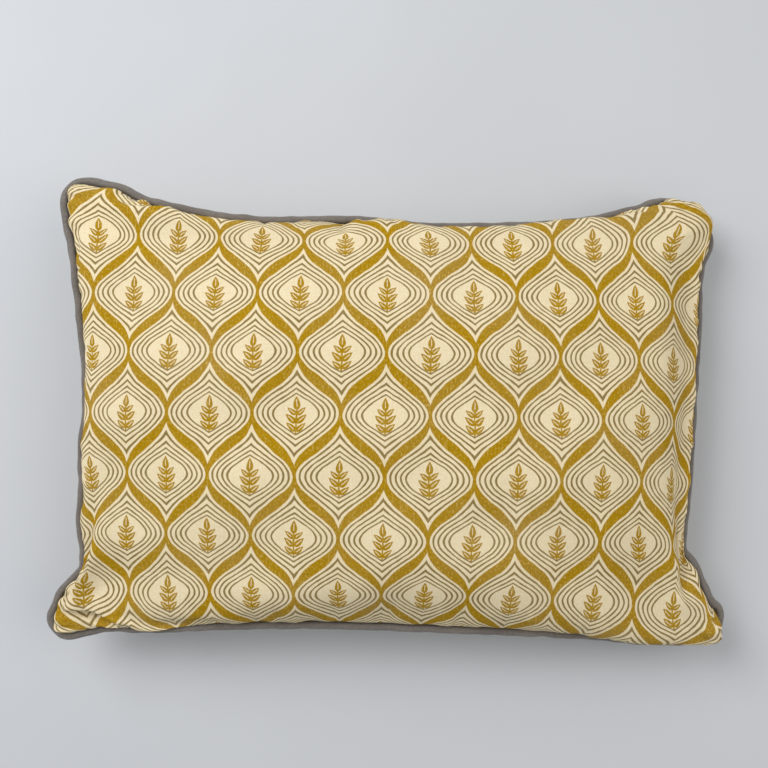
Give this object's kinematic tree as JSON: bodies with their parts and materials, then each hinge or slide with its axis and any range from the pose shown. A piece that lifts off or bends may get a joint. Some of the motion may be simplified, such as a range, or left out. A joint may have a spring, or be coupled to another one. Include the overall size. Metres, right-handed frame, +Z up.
{
  "type": "block printed cushion",
  "caption": "Oblong filled cushion with a crowned printed face, drawn-in sides, soft corner ears and a piped edge all round, lying on its flattened back.",
  "frame": {"origin": "on the floor, under the middle of the cushion's box", "axes": "+Z up out of the printed face, +X along the length, +Y towards the top edge of the face"},
  "size_m": [0.6088, 0.4228, 0.127],
  "materials": {
    "printed_cloth": "matt slubby cotton and linen cloth, mustard print on cream",
    "piping_cloth": "matt plain woven grey cloth"
  },
  "bodies": {
    "root": {"cushion": "printed_cloth", "piping": "piping_cloth"}
  },
  "joints": []
}
